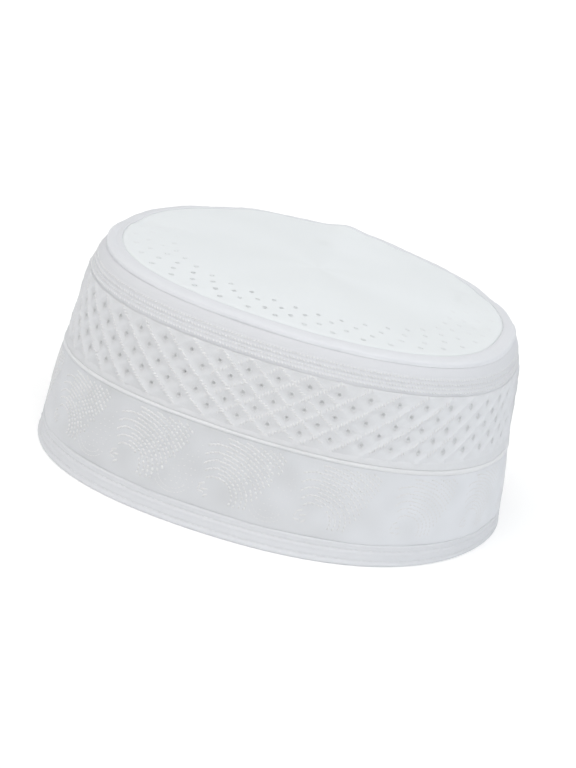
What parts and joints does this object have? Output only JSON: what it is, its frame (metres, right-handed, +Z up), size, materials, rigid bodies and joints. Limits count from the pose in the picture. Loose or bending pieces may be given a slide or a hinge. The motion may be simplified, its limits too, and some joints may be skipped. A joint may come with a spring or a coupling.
{
  "type": "kufi cap",
  "caption": "Round brimless white cloth cap with a near-flat pierced crown, a padded lattice band, piping, and a sheer cuff with embroidered waves, open below for the head.",
  "frame": {"origin": "middle of the bounding box at the bottom edge of the hem, where the cap stands on the table", "axes": "+Z up through the crown, -Y towards the side that the picture shows, +X to the right in that view"},
  "size_m": [0.1858, 0.1828, 0.086],
  "materials": {
    "hem_cloth": "white cotton folded double, matt, with stitched lines",
    "sheer_cuff_cloth": "smooth bluish white voile over a backing, with brighter satin embroidery",
    "piping_cloth": "white covered cord, matt",
    "padded_lattice_cloth": "white padded cotton, matt, with crossing puffed ribs and stitched eyelets",
    "stitched_cloth": "white cotton with close rows of bright topstitching",
    "binding_cloth": "smooth white cotton, softly rolled, faint sheen",
    "crown_cloth": "smooth white cotton, matt, with small stitched eyelets"
  },
  "bodies": {
    "root": {"hem_band": "hem_cloth", "cuff_band": "sheer_cuff_cloth", "piping_cord": "piping_cloth", "lattice_band": "padded_lattice_cloth", "stitched_band": "stitched_cloth", "crown_binding": "binding_cloth", "crown_top": "crown_cloth"}
  },
  "joints": []
}
